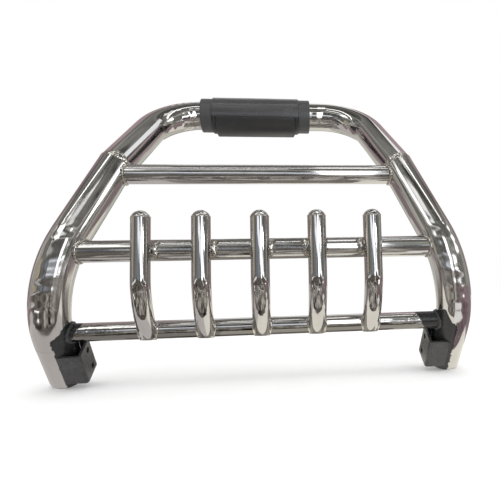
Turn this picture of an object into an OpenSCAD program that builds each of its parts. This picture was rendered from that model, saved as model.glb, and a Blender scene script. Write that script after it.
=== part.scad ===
// Front grille guard: a bent tube hoop with three crossbars, five upright teeth,
// two frame brackets and a moulded sleeve on the top bow. Sizes are in millimetres.
// X runs across the vehicle, Y rearward and Z up. Heights and setbacks in the sections
// below are measured from the middle crossbar's height and from the datum line above it.

/* [Hoop] */
// outside diameter of the top bow and of both legs
main_od = 76; // [60:0.5:90]
// wall of the top bow and of both legs
main_wall = 2; // [1.5:0.1:4]
// height of the top bow's axis
top_rise = 400; // [340:1:480]
// how far the top bow lies behind the datum line
top_setback = 302; // [240:1:340]
// half the distance between the top bow's corner points
bow_half = 267; // [255:1:290]
// centreline radius of the top bow's two bends
bow_bend_r = 135; // [115:1:140]
// half the distance between the welded seams
seam_half = 329; // [315:1:350]
// how far the welded seams lie behind the datum line
seam_setback = 100; // [80:1:120]
// height of the welded seams
seam_rise = 203; // [195:1:225]
// half the distance between the legs' lower runs
leg_half = 422; // [400:1:450]
// how far the knees' corner points lie ahead of the datum line
knee_lead = 43; // [20:1:60]
// depth of the knees' corner points below the middle crossbar
knee_drop = 75; // [60:1:90]
// centreline radius of the legs' knee bend
knee_bend_r = 200; // [170:1:215]
// angle of the legs' lower runs from the vertical
tail_angle = 37.5; // [30:0.5:45]
// length from the knees' corner points to the legs' ends
leg_tail = 234; // [230:1:300]
// thickness of the discs that close the legs
end_disc_t = 3; // [2:0.5:6]

/* [Crossbars] */
// outside diameter of the upper and middle crossbars
bar_od = 44.5; // [38:0.5:51]
// wall of the upper and middle crossbars
bar_wall = 2; // [1.5:0.1:4]
// depth of the upper crossbar below the welded seams
upper_drop = 22; // [13:1:38]
// outside diameter of the lower crossbar
low_bar_od = 38; // [32:0.5:44]
// wall of the lower crossbar
low_bar_wall = 2; // [1.5:0.1:4]
// depth of the lower crossbar below the middle one
lower_drop = 163.5; // [150:0.5:165]

/* [Teeth] */
// outside diameter of the teeth
tooth_od = 38; // [30:0.5:38]
// wall of the teeth and of their domes
tooth_wall = 2; // [1.5:0.1:3]
// spacing of the teeth across the guard
tooth_pitch = 116; // [90:1:125]
// height of the tooth tubes above the middle crossbar
tooth_rise = 62.5; // [40:0.5:90]
// height of the welded domes
dome_h = 14; // [8:0.5:16]
// depth below the middle crossbar where the teeth begin to bend
tooth_bend_drop = 51.5; // [30:0.5:70]
// depth of the teeth's ends below the lower crossbar's axis
foot_drop = 9; // [0:0.5:12]

/* [Brackets] */
// thickness of the bracket plate
plate_t = 5; // [4:0.5:8]
// distance from the knees' corner points to the brackets' upper ends
bracket_start = 146; // [140:1:150]
// length of the brackets along the legs
bracket_len = 76; // [70:1:80]
// how far the bolted webs stand inward of the legs
web_out = 18; // [12:0.5:30]
// how far the front flanges lie behind the legs' fronts
front_inset = 1; // [0.5:0.5:6]
// how far the rear flanges reach behind the legs' axes
rear_reach = 22; // [16:0.5:28]
// outside radius of the folds
fold_r = 7; // [6:0.5:10]
// clearance holes for the frame bolts
hole_d = 13; // [9:0.5:17]
// spacing of the bolt holes
hole_pitch = 45; // [35:1:50]

/* [Sleeve] */
// outside diameter of the sleeve's barrel
barrel_od = 98; // [94:0.5:110]
// length of the barrel
barrel_len = 237; // [190:1:245]
// outside diameter of the end collars
collar_od = 91; // [88:0.5:93]
// length of the end collars
collar_len = 30; // [22:1:32]
// edge rounding of the end collars
collar_round = 3; // [1:0.5:3.5]
// wall of the spigots that the collars hold together
spigot_wall = 3; // [2:0.5:4]
// length of the spigots
spigot_len = 20; // [10:1:20]
// how far the sleeve sits off the middle of the top bow
sleeve_offset = -20; // [-20:1:20]
// turn of the sleeve's parting line below the front
sleeve_roll = 20; // [0:1:60]
// height of the bare raised pad
pad_rise = 4.5; // [2:0.5:6]
// length of the raised pad
pad_len = 200; // [150:1:215]
// angle from the parting line to the pad's upper edge
pad_from = 20; // [10:1:40]
// angle from the parting line to the pad's lower edge
pad_to = 112; // [95:1:120]
// bevel along the barrel's ends and round the pad
edge_bevel = 2.5; // [1:0.5:4]

/* [Fits] */
// gap at coped and welded joints
weld_gap = 0.3; // [0.2:0.05:0.5]
// radial gap between the top bow and the sleeve's halves
sleeve_gap = 0.5; // [0.4:0.05:0.8]
// radial gap between the top bow and the collars' lips
lip_gap = 0.9; // [0.8:0.05:1.2]
// gap between the collars and the barrel
reveal = 0.6; // [0.3:0.1:0.9]
// how far straight runs enter the bends
bite = 1; // [0.5:0.1:1.5]
// how much the tube draws in at its bends
draw_in = 0.15; // [0.1:0.05:0.3]

/* [Hidden] */
$fn = 96;
main_r = main_od / 2;
reach = 4 * main_od;
tail_dir = [0, sin(tail_angle), -cos(tail_angle)];
tail_up = [0, cos(tail_angle), sin(tail_angle)];

function unit(v) = v / norm(v);
function flip(side, p) = [side * p[0], p[1], p[2]];
function turn_of(a, b, c) = acos(unit(b - a) * unit(c - b));
function bend_in(a, b, c, r) = b - unit(b - a) * r * tan(turn_of(a, b, c) / 2);
function bend_out(a, b, c, r) = b + unit(c - b) * r * tan(turn_of(a, b, c) / 2);

function corner(side) = flip(side, [bow_half, top_setback, top_rise]);
function seam(side) = flip(side, [seam_half, seam_setback, seam_rise]);
function knee(side) = flip(side, [leg_half, -knee_lead, -knee_drop]);
function leg_end(side) = knee(side) + leg_tail * tail_dir;
function seam_normal(side) = unit(unit(seam(side) - corner(side)) + unit(knee(side) - seam(side)));

// centre of the leg at a given height, on its upper run, its knee or its lower run
knee_top = bend_in(seam(1), knee(1), leg_end(1), knee_bend_r);
knee_low = bend_out(seam(1), knee(1), leg_end(1), knee_bend_r);
knee_u = unit(knee(1) - seam(1));
knee_n = unit(cross(knee_u, tail_dir));
knee_o = knee_top + knee_bend_r * cross(knee_n, knee_u);
knee_x = unit(knee_top - knee_o);
knee_amp = norm([knee_x[2], knee_u[2]]);
function on_line(p, d, z) = p + d * (z - p[2]) / d[2];
function knee_turn(z) = atan2(knee_u[2], knee_x[2]) + acos((z - knee_o[2]) / (knee_bend_r * knee_amp));
function on_knee(a) = knee_o + knee_bend_r * (cos(a) * knee_x + sin(a) * knee_u);
function leg_at(z) =
    z >= knee_top[2] ? on_line(knee_top, knee_u, z) :
    z >= knee_low[2] ? on_knee(knee_turn(z)) :
    on_line(knee_low, tail_dir, z);

upper_at = leg_at(seam_rise - upper_drop);
middle_at = leg_at(0);
lower_at = leg_at(-lower_drop);

// the teeth run in front of the middle crossbar and curve back into the lower one
tooth_r = tooth_od / 2;
tooth_y = middle_at[1] - bar_od / 2 - weld_gap - tooth_r;
tooth_dy = lower_at[1] - tooth_y;
tooth_dz = lower_drop + foot_drop - tooth_bend_drop;
tooth_bend_r = (tooth_dy * tooth_dy + tooth_dz * tooth_dz) / (2 * tooth_dy);
tooth_turn = atan2(tooth_dz, tooth_bend_r - tooth_dy);
foot_z = -lower_drop - low_bar_od / 2;
dome_r = (tooth_r * tooth_r + dome_h * dome_h) / (2 * dome_h);

sleeve_bore_r = main_r + sleeve_gap;
spigot_r = sleeve_bore_r + spigot_wall;
barrel_r = barrel_od / 2;
collar_r = collar_od / 2;
pad_r = barrel_r + pad_rise;

front_y = tooth_y - tooth_r;
rear_y = top_setback + barrel_r;
low_z = leg_end(1)[2] - main_r * tail_up[2];

// lays X, Y and Z of its children along three directions at a point
module placed(o, x, y, z)
    multmatrix([[x[0], y[0], z[0], o[0]],
                [x[1], y[1], z[1], o[1]],
                [x[2], y[2], z[2], o[2]],
                [0, 0, 0, 1]])
        children();

// moves the guard from the datum line to the middle of its footprint
module seated()
    translate([0, -(front_y + rear_y) / 2, -low_z])
        children();

module rod(p, q, r) {
    z = unit(q - p);
    x = unit(cross(z, abs(z[2]) < 0.9 ? [0, 0, 1] : [1, 0, 0]));
    placed(p, x, cross(z, x), z)
        cylinder(h = norm(q - p), r = r);
}

// round bar bent at b on the way from a to c
module bend(a, b, c, bend_r, r) {
    u = unit(b - a);
    n = unit(cross(u, c - b));
    p = bend_in(a, b, c, bend_r);
    o = p + bend_r * cross(n, u);
    placed(o, unit(p - o), u, n)
        rotate_extrude(angle = turn_of(a, b, c))
            translate([bend_r, 0])
                circle(r = r - draw_in);
}

// straight bar that enters the bends at its ends
module run(p, q, r) {
    u = unit(q - p);
    rod(p - bite * u, q + bite * u, r);
}

// everything on the side of the seam that a direction points to
module beyond_seam(side, way) {
    z = way * seam_normal(side);
    x = unit(cross(z, [1, 0, 0]));
    placed(seam(side), x, cross(z, x), z)
        translate([-reach / 2, -reach / 2, 0])
            cube(reach);
}

module leg_core(side, r, past = 0) {
    s = seam(side);
    k = knee(side);
    e = leg_end(side);
    run(s - main_od * unit(k - s), bend_in(s, k, e, knee_bend_r), r);
    bend(s, k, e, knee_bend_r, r);
    run(bend_out(s, k, e, knee_bend_r), e + (past - bite) * tail_dir, r);
}

module bow_core(r) {
    for (side = [-1, 1]) {
        s = seam(side);
        c = corner(side);
        run(s + main_od * unit(s - c), bend_in(s, c, corner(-side), bow_bend_r), r);
        bend(s, c, corner(-side), bow_bend_r, r);
    }
    run(bend_out(seam(-1), corner(-1), corner(1), bow_bend_r),
        bend_out(seam(1), corner(1), corner(-1), bow_bend_r), r);
}

module top_bow()
    color("#c8cace")
        seated()
            difference() {
                bow_core(main_r);
                bow_core(main_r - main_wall);
                beyond_seam(-1, 1);
                beyond_seam(1, 1);
            }

module leg(side)
    color("#c8cace")
        seated()
            difference() {
                leg_core(side, main_r);
                leg_core(side, main_r - main_wall, main_od);
                beyond_seam(side, -1);
            }

module end_disc(side)
    color("#2a2a2c")
        seated()
            rod(leg_end(side) - end_disc_t * tail_dir, leg_end(side),
                main_r - main_wall - weld_gap);

// tube across the guard, coped to the hoop at both ends
module crossbar(at, r, wall)
    color("#c0c3c8")
        seated()
            difference() {
                rod(flip(-1, at), at, r);
                rod(flip(-1, at), at, r - wall);
                leg_core(-1, main_r + weld_gap);
                leg_core(1, main_r + weld_gap);
                bow_core(main_r + weld_gap);
            }

module tooth_core(x, r) {
    w = 2 * (tooth_bend_r + r);
    placed([x, tooth_y + tooth_bend_r, -tooth_bend_drop], [0, -1, 0], [0, 0, -1], [1, 0, 0]) {
        translate([tooth_bend_r, 0, 0])
            rotate([90, 0, 0])
                cylinder(h = tooth_rise + tooth_bend_drop, r = r);
        difference() {
            rotate_extrude()
                translate([tooth_bend_r, 0])
                    circle(r = r);
            translate([-w, -w, -w / 2])
                cube([2 * w, w, w]);
            rotate([0, 0, tooth_turn])
                translate([-w, 0, -w / 2])
                    cube([2 * w, w, w]);
        }
    }
}

// everything below a height, round a tooth's foot
module under_foot(x, z)
    translate([x - tooth_od, lower_at[1] - reach / 2, z - reach])
        cube([2 * tooth_od, reach, reach]);

// the foot is trimmed flush with the lower crossbar's underside and closed there
module tooth(n) {
    x = (n - 3) * tooth_pitch;
    color("#cdd0d4")
        seated()
            difference() {
                tooth_core(x, tooth_r);
                difference() {
                    tooth_core(x, tooth_r - tooth_wall);
                    under_foot(x, foot_z + tooth_wall);
                }
                rod(flip(-1, lower_at), lower_at, low_bar_od / 2 + weld_gap);
                under_foot(x, foot_z);
            }
}

module tooth_dome(n) {
    at = [(n - 3) * tooth_pitch, tooth_y, tooth_rise];
    color("#d5d7da")
        seated()
            translate(at)
                intersection() {
                    cylinder(h = 2 * dome_h, r = tooth_od);
                    translate([0, 0, dome_h - dome_r])
                        difference() {
                            sphere(r = dome_r);
                            sphere(r = dome_r - tooth_wall);
                        }
                }
}

// block with two rounded corners on its left, open to the right
module folded(x0, x1, y0, y1, r) {
    translate([x0 + r, y0])
        square([x1 - x0 - r, y1 - y0]);
    translate([x0, y0 + r])
        square([x1 - x0, y1 - y0 - 2 * r]);
    for (y = [y0 + r, y1 - r])
        translate([x0 + r, y])
            circle(r = r);
}

module bracket() {
    web_x = -main_r - web_out;
    front = main_r - front_inset;
    color("#333436")
        seated()
            difference() {
                placed(knee(1) + bracket_start * tail_dir, [1, 0, 0], -tail_up, tail_dir)
                    difference() {
                        linear_extrude(bracket_len)
                            difference() {
                                folded(web_x, 0, -rear_reach, front, fold_r);
                                folded(web_x + plate_t, 1, plate_t - rear_reach, front - plate_t,
                                       fold_r - plate_t);
                            }
                        for (a = [-1, 1])
                            translate([web_x - 1, 0, (bracket_len + a * hole_pitch) / 2])
                                rotate([0, 90, 0])
                                    cylinder(h = plate_t + 2, d = hole_d);
                    }
                leg_core(1, main_r + weld_gap);
            }
}

// lays a turned profile along the top bow, with angle 0 at the parting line's front
module on_bow(x)
    seated()
        placed([x, top_setback, top_rise],
               [0, -cos(sleeve_roll), -sin(sleeve_roll)],
               [0, sin(sleeve_roll), -cos(sleeve_roll)],
               [1, 0, 0])
            children();

module barrel_profile()
    polygon([[sleeve_bore_r, -barrel_len / 2 - spigot_len],
             [spigot_r, -barrel_len / 2 - spigot_len],
             [spigot_r, -barrel_len / 2],
             [barrel_r - edge_bevel, -barrel_len / 2],
             [barrel_r, edge_bevel - barrel_len / 2],
             [barrel_r, barrel_len / 2 - edge_bevel],
             [barrel_r - edge_bevel, barrel_len / 2],
             [spigot_r, barrel_len / 2],
             [spigot_r, barrel_len / 2 + spigot_len],
             [sleeve_bore_r, barrel_len / 2 + spigot_len]]);

// the pad's sloped ends start below the barrel's skin
module pad_profile()
    polygon([[barrel_r - edge_bevel, -pad_len / 2 - edge_bevel],
             [pad_r, pad_rise - pad_len / 2],
             [pad_r, pad_len / 2 - pad_rise],
             [barrel_r - edge_bevel, pad_len / 2 + edge_bevel]]);

module sleeve_half()
    rotate_extrude(angle = 180)
        barrel_profile();

module sleeve_upper()
    color("#4c4c4e")
        on_bow(sleeve_offset)
            rotate([0, 0, 180])
                sleeve_half();

module sleeve_lower()
    color("#424243")
        on_bow(sleeve_offset) {
            sleeve_half();
            rotate([0, 0, pad_from])
                rotate_extrude(angle = pad_to - pad_from)
                    pad_profile();
        }

// ring over the two spigots, with a lip that closes on the top bow
module collar(side) {
    seat_r = spigot_r + weld_gap;
    lip_r = main_r + lip_gap;
    seat_len = spigot_len + reveal;
    color("#38383a")
        on_bow(sleeve_offset + side * (barrel_len / 2 + reveal))
            mirror([0, 0, side > 0 ? 0 : 1])
                rotate_extrude() {
                    translate([seat_r, 0])
                        square([collar_r - seat_r, collar_len - collar_round]);
                    translate([lip_r, seat_len])
                        square([collar_r - lip_r, collar_len - collar_round - seat_len]);
                    translate([lip_r, seat_len])
                        square([collar_r - collar_round - lip_r, collar_len - seat_len]);
                    translate([collar_r - collar_round, collar_len - collar_round])
                        circle(r = collar_round);
                }
}

top_bow();
leg(-1);  // left_leg
leg(1);  // right_leg
end_disc(-1);  // left_end_disc
end_disc(1);  // right_end_disc
crossbar(upper_at, bar_od / 2, bar_wall);  // upper_crossbar
crossbar(middle_at, bar_od / 2, bar_wall);  // middle_crossbar
crossbar(lower_at, low_bar_od / 2, low_bar_wall);  // lower_crossbar
tooth(1);  // tooth_1
tooth(2);  // tooth_2
tooth(3);  // tooth_3
tooth(4);  // tooth_4
tooth(5);  // tooth_5
tooth_dome(1);  // tooth_dome_1
tooth_dome(2);  // tooth_dome_2
tooth_dome(3);  // tooth_dome_3
tooth_dome(4);  // tooth_dome_4
tooth_dome(5);  // tooth_dome_5
mirror([1, 0, 0]) bracket();  // left_bracket
bracket();  // right_bracket
sleeve_upper();
sleeve_lower();
collar(-1);  // sleeve_left_collar
collar(1);  // sleeve_right_collar
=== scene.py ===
# %% [markdown]
# # A front grille guard in polished tube
# The guard is a hoop of 76 mm stainless tube with three crossbars and five curved teeth, two
# black brackets that bolt to the vehicle and a black plastic sleeve on the top bow. The packed
# CAD model gives every tube its place, so this file adds what the solid model lacks: weld beads,
# the sleeve's full pad, finishes, light and a camera. Lengths are in metres, apart from those
# whose names end in MM.

# %% Load the frame
import math

import bmesh
import bpy
from mathutils import Matrix, Vector
from mathutils.bvhtree import BVHTree
from mathutils.noise import noise


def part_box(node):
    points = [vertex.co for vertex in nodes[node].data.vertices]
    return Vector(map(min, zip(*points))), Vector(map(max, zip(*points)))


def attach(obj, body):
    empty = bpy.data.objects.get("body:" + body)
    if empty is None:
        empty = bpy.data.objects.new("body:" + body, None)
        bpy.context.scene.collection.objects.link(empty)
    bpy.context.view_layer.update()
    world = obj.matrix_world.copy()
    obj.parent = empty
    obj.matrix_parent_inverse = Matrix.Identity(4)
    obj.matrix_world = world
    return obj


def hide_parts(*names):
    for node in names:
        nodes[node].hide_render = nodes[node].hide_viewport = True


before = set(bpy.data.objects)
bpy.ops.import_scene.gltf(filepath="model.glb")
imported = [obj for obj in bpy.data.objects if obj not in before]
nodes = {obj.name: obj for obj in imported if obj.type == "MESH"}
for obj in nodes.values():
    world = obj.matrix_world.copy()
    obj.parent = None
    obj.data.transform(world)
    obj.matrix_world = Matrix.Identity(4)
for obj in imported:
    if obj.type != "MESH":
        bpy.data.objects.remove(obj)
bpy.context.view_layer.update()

# %% [markdown]
# ## Colours and shader nodes
# Colours are written as sRGB hex values, as a paint chart gives them, and Blender's shaders want
# linear light, so one function converts them. A second one adds a shader node, fills in its
# settings and links its inputs.


# %% Colour and node helpers
def linear(hex_colour):
    """Linear RGBA from an sRGB hex value, by the sRGB curve."""
    parts = [int(hex_colour[i:i + 2], 16) / 255 for i in (1, 3, 5)]
    return tuple(c / 12.92 if c <= 0.04045 else ((c + 0.055) / 1.055) ** 2.4 for c in parts) + (1.0,)


def add(tree, kind, inputs=None, **settings):
    """New shader node; an input is either a socket to link or a value to set."""
    node = tree.nodes.new(kind)
    for key, value in settings.items():
        setattr(node, key, value)
    for key, value in (inputs or {}).items():
        if isinstance(value, bpy.types.NodeSocket):
            tree.links.new(value, node.inputs[key])
        else:
            node.inputs[key].default_value = value
    return node


def start_material(name):
    """New material with an empty node tree."""
    material = bpy.data.materials.new(name)
    material.use_nodes = True
    material.node_tree.nodes.clear()
    return material, material.node_tree


print("mid grey is", [round(c, 3) for c in linear("#808080")])

# %% [markdown]
# ## Camera
# The camera was fitted to the outlines of all the tubes in the photograph. It stands low, a
# little over a metre in front of the guard's middle, and looks slightly up. The picture was
# cropped off centre, so the lens is shifted sideways by the same share of the frame.

# %% Place the camera
PICTURE_PX, FOCAL_PX, CENTRE_X_PX, SENSOR_MM = 500, 454.596, 332.472, 36
EYE = Vector((0.04012, -1.11341, 0.20552))
YAW, PITCH, ROLL = 0.115267, -0.074576, -0.026594
right = Vector((math.cos(YAW), -math.sin(YAW), 0))
ahead = Vector((math.cos(PITCH) * math.sin(YAW), math.cos(PITCH) * math.cos(YAW), -math.sin(PITCH)))
up = right.cross(ahead)
cam_x = math.cos(ROLL) * right + math.sin(ROLL) * up
cam_y = math.cos(ROLL) * up - math.sin(ROLL) * right
lens = bpy.data.cameras.new("photo_camera")
lens.sensor_width = SENSOR_MM
lens.lens = FOCAL_PX / PICTURE_PX * SENSOR_MM
lens.shift_x = -(CENTRE_X_PX - PICTURE_PX / 2) / PICTURE_PX
lens.clip_start = 0.01
camera = bpy.data.objects.new("photo_camera", lens)
camera.matrix_world = Matrix((cam_x, cam_y, -ahead)).transposed().to_4x4()
camera.location = EYE
scene = bpy.context.scene
scene.collection.objects.link(camera)
scene.camera = camera
print("lens", round(lens.lens, 2), "mm, shift", round(lens.shift_x, 3))

# %% [markdown]
# ## Weld beads
# Every joint of the guard is welded and then polished over, which leaves a soft bead with ripples
# where the torch paused. A bead could be drawn as a curve with a round section, but a small
# circle spun into a ring keeps its ripples evenly spaced. Each ring is then laid on its joint:
# its points slide along the tube until they meet the neighbour. A ring that isn't a full turn
# grows thin towards its two ends.

# %% A rippled ring, spun from a small circle
FULL_TURN, SECTION_SIDES = 2 * math.pi, 10
TROUGH, RIPPLE, LUMPS_PER_M = 0.86, 0.20, 260
END_SIZE, END_GROWTH = 0.25, 4.0


def rippled_ring(bm, ring_r, place, bead_w, bead_h, steps, pitch, lumps, sweep=FULL_TURN, begin=0.0):
    """Ring round Z with a ripple at every pitch; place(point, turn) lays each of its points on the joint."""
    older = set(bm.verts)
    made = bmesh.ops.create_circle(bm, cap_ends=False, radius=1.0, segments=SECTION_SIDES)["verts"]
    bmesh.ops.transform(bm, matrix=Matrix.Rotation(math.pi / 2, 4, "X"), verts=made)
    bmesh.ops.scale(bm, vec=(bead_h, 1, bead_w), verts=made)
    bmesh.ops.translate(bm, vec=(ring_r, 0, 0), verts=made)
    bmesh.ops.rotate(bm, cent=(0, 0, 0), matrix=Matrix.Rotation(begin, 3, "Z"), verts=made)
    edges = list({e for v in made for e in v.link_edges})
    full = sweep == FULL_TURN
    bmesh.ops.spin(bm, geom=made + edges, cent=(0, 0, 0), axis=(0, 0, 1), dvec=(0, 0, 0), angle=sweep,
                   steps=steps, use_merge=full, use_normal_flip=False, use_duplicate=False)
    for v in [v for v in bm.verts if v not in older]:
        turn = math.atan2(v.co.y, v.co.x)
        heart = Vector((math.cos(turn), math.sin(turn), 0)) * ring_r
        wave = TROUGH + RIPPLE * abs(math.sin(turn * ring_r / pitch * math.pi))
        wave += lumps * noise(v.co * LUMPS_PER_M)
        if not full:
            wave *= min(1.0, END_SIZE + END_GROWTH * min(turn - begin, begin + sweep - turn) / sweep)
        v.co = place(heart + (v.co - heart) * wave, turn)


print("bead section:", SECTION_SIDES, "sides")

# %% From a bmesh to a piece
MERGE_DIST, CAP_SIDES = 1e-6, 12
beads = []


def close_up(bm):
    """Cap open ends and turn every face outwards."""
    bmesh.ops.holes_fill(bm, edges=[e for e in bm.edges if e.is_boundary], sides=CAP_SIDES)
    bmesh.ops.recalc_face_normals(bm, faces=bm.faces)


def make_object(name, bm, smooth):
    """Object in the scene from a bmesh, which is freed."""
    for face in bm.faces:
        face.smooth = smooth
    mesh = bpy.data.meshes.new(name)
    bm.to_mesh(mesh)
    bm.free()
    obj = bpy.data.objects.new(name, mesh)
    scene.collection.objects.link(obj)
    return obj


def finish_bead(name, bm):
    """Closed bead as a piece of the guard."""
    bmesh.ops.remove_doubles(bm, verts=bm.verts, dist=MERGE_DIST)
    close_up(bm)
    piece = make_object(name, bm, smooth=True)
    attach(piece, "root")
    beads.append(piece)
    print(name, len(piece.data.polygons), "faces")


# %% [markdown]
# The hoop is three tubes, joined by a mitre on each side just above the upper crossbar. The bead
# there has been ground nearly flush, so its ring is low and wide, and it leans to lie in the
# mitre plane. At the front, where the torch started and stopped, a lump is left standing. The
# mitre plane follows from three points of the hoop's centre line, given as the CAD source has
# them, before the pack moved the part by SHIFT.

# %% Mitre beads on the hoop
SIDES = ((-1, "left"), (1, "right"))
MAIN_R, BAR_R, LOW_R, TOOTH_R = 0.038, 0.02225, 0.019, 0.019
SEAM, LEG_POINT, BOW_POINT = (0.329, 0.100, 0.203), (0.422, -0.043, -0.075), (0.267, 0.302, 0.400)
SHIFT = Vector((0, -0.145183, 0.283778))
LUMP_SIDE, LUMP_RISE, LUMP_FOCUS, GROUND_FLUSH = (-0.45, -0.8, 0.4), 3.2, 8, 0.3
LEAST_WIDTH, LUMP_WIDTH = 0.5, 0.35
MITRE_BEAD = dict(bead_w=0.006, bead_h=0.0007, steps=120, pitch=0.006, lumps=0.5)
STEEP = 0.9


def frame_of(axis):
    """Rotation that turns Z to the axis."""
    side = Vector((0, 0, 1)) if abs(axis.z) < STEEP else Vector((1, 0, 0))
    x = axis.cross(side).normalized()
    return Matrix((x, axis.cross(x), axis)).transposed()


def on_side(side, point):
    """A point or direction of the right half, or its mirror image in the left half."""
    return Vector((side * point[0], point[1], point[2]))


for side, word in SIDES:
    seam = on_side(side, SEAM)
    to_leg = (on_side(side, LEG_POINT) - seam).normalized()
    to_bow = (seam - on_side(side, BOW_POINT)).normalized()
    plane = (to_leg + to_bow).normalized()
    heavy = on_side(side, LUMP_SIDE).normalized()
    axes = frame_of(to_leg)

    def lean(p, turn):
        flat = axes @ Vector((p.x, p.y, 0))
        out = flat.normalized()
        clump = GROUND_FLUSH + LUMP_RISE * max(0.0, out.dot(heavy)) ** LUMP_FOCUS
        flat = out * (MAIN_R + (flat.length - MAIN_R) * clump)
        slide = p.z * (LEAST_WIDTH + LUMP_WIDTH * clump) - flat.dot(plane) / to_leg.dot(plane)
        return seam + SHIFT + flat + to_leg * slide

    bm = bmesh.new()
    rippled_ring(bm, MAIN_R, lean, **MITRE_BEAD)
    finish_bead(f"weld_{word}_mitre", bm)

# %% [markdown]
# Each crossbar ends in a cope, cut so that it sits on the round leg. The bead follows that saddle
# curve: a ray along the bar from each point of the ring finds where the leg's skin is.

# %% Skins that the crossbars meet
skins = {}
for name in ("left_leg", "right_leg", "top_bow"):
    skin = bmesh.new()
    skin.from_mesh(nodes[name].data)
    skins[name] = BVHTree.FromBMesh(skin)
    skin.free()
print("skins:", sorted(skins))

# %% Beads at the crossbars' ends
PROUD, STEP_BACK = 0.0006, 0.0008
BAR_BEAD = dict(bead_w=0.0046, bead_h=0.0030, steps=84, pitch=0.0045, lumps=0.6)


def axis_of(name):
    """Point on the axis of a level tube or ring, at X = 0."""
    low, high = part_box(name)
    return Vector((0, (low.y + high.y) / 2, (low.z + high.z) / 2))


for name, bar_r in (("upper_crossbar", BAR_R), ("middle_crossbar", BAR_R), ("lower_crossbar", LOW_R)):
    middle = axis_of(name)
    bm = bmesh.new()
    for side, word in SIDES:
        out = Vector((side, 0, 0))
        axes = frame_of(out)

        def on_leg(p, turn):
            flat = axes @ Vector((p.x, p.y, 0))
            ray = middle + flat.normalized() * bar_r
            hits = [skins[n].ray_cast(ray, out)[3] for n in (word + "_leg", "top_bow")]
            reach = min(h for h in hits if h)
            return middle + flat + out * (reach - STEP_BACK + p.z)

        rippled_ring(bm, bar_r + PROUD, on_leg, **BAR_BEAD)
    finish_bead("weld_" + name, bm)

# %% [markdown]
# A tooth runs straight down in front of the middle crossbar, then curves back on one arc to the
# lower one. Its bead at the foot has to follow that arc, so the arc is worked out again here: it
# starts BEND_DROP under the middle bar's axis and passes FOOT_DROP under the lower bar's axis.

# %% The teeth's bend
WELD_GAP, BEND_DROP, FOOT_DROP = 0.0003, 0.0515, 0.009
mid_axis, low_axis = axis_of("middle_crossbar"), axis_of("lower_crossbar")
tooth_y = mid_axis.y - BAR_R - WELD_GAP - TOOTH_R
bend_z = mid_axis.z - BEND_DROP
dy, dz = low_axis.y - tooth_y, bend_z - low_axis.z + FOOT_DROP
bend_r = (dy * dy + dz * dz) / (2 * dy)
bend = Vector((0, tooth_y + bend_r, bend_z))
to_low = math.atan2(bend.z - low_axis.z, bend.y - low_axis.y)
span = math.hypot(bend.z - low_axis.z, bend.y - low_axis.y)
print("tooth bend radius", round(bend_r * 1000, 1), "mm")

# %% [markdown]
# The teeth are welded three times: a ring where the foot meets the lower crossbar, two short
# fillets in the notch behind each tooth where it crosses the middle bar, one of them heavier, and
# a fine seam under the dome. Each set of beads is made for a tooth at X = 0 and then moved along
# the bars to its own tooth.

# %% Beads on the teeth
TOOTH_PITCH, HEAVY_SIDES = 0.116, (1, 1, 1, -1, -1)
HEAVY_HALF, LIGHT_HALF = 0.0075, 0.0045
NOTCH_X, NOTCH_PROUD, DOME_SINK = 0.0135, 0.0012, 0.0002
FOOT_BEAD = dict(bead_w=0.0030, bead_h=0.0026, steps=72, pitch=0.0042, lumps=0.10)
NOTCH_BEAD = dict(bead_h=0.0046, steps=28, pitch=0.006, lumps=0.9, sweep=1.9, begin=-0.85)
DOME_BEAD = dict(bead_w=0.0014, bead_h=0.0006, steps=72, pitch=0.004, lumps=0.10)
dome_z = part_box("tooth_dome_1")[0].z


def on_low_bar(p, turn):
    out = math.hypot(p.x, p.y)
    reach = bend_r - TOOTH_R * math.cos(turn)
    gap = (reach ** 2 + span ** 2 - LOW_R ** 2) / (2 * reach * span)
    at = to_low - math.acos(max(-1.0, min(1.0, gap))) + (p.z + PROUD) / bend_r
    reach = bend_r - out * math.cos(turn)
    flush = max(bend.z - reach * math.sin(at), low_axis.z - LOW_R - PROUD)
    return Vector((out * math.sin(turn), bend.y - reach * math.cos(at), flush))


def on_dome(p, turn):
    return Vector((p.x, tooth_y + p.y, dome_z + p.z))


for n, heavy_side in enumerate(HEAVY_SIDES):
    bm = bmesh.new()
    rippled_ring(bm, TOOTH_R + PROUD, on_low_bar, **FOOT_BEAD)
    for side, _ in SIDES:
        half = HEAVY_HALF if side == heavy_side else LIGHT_HALF

        def on_mid_bar(p, turn):
            return mid_axis + Vector((side * (NOTCH_X + half) + side * p.z, -p.x, p.y))

        rippled_ring(bm, BAR_R + NOTCH_PROUD, on_mid_bar, bead_w=half, **NOTCH_BEAD)
    rippled_ring(bm, TOOTH_R - DOME_SINK, on_dome, **DOME_BEAD)
    bmesh.ops.translate(bm, vec=((n - len(HEAVY_SIDES) // 2) * TOOTH_PITCH, 0, 0), verts=bm.verts)
    finish_bead(f"weld_tooth_{n + 1}", bm)

# %% [markdown]
# ## Lower half of the sleeve
# The photograph shows a wide raised pad on the sleeve's lower half. It starts just under the
# parting line and runs nearly to the collars, wider and deeper than the CAD pad. A moulder would
# turn the half shell and cut the pad's pocket into the same mould, so both are spun here from
# flat profiles: the shell over half a turn, the pad over less than a third. A small bevel rounds
# the pad as a mould's corner would.

# %% Sizes of the sleeve and a way to turn it
SLEEVE_TURN, SHARP_ANGLE = math.radians(20), 0.5
BORE_R, SPIGOT_R, SHELL_R, PAD_R = 0.0385, 0.0415, 0.049, 0.0565
SHELL_HALF, SPIGOT_HALF, PAD_HALF = 0.1185, 0.1385, 0.109
half_low, half_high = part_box("sleeve_lower")
bow_axis = axis_of("sleeve_left_collar")
bow_axis.x = (half_low.x + half_high.x) / 2


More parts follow.
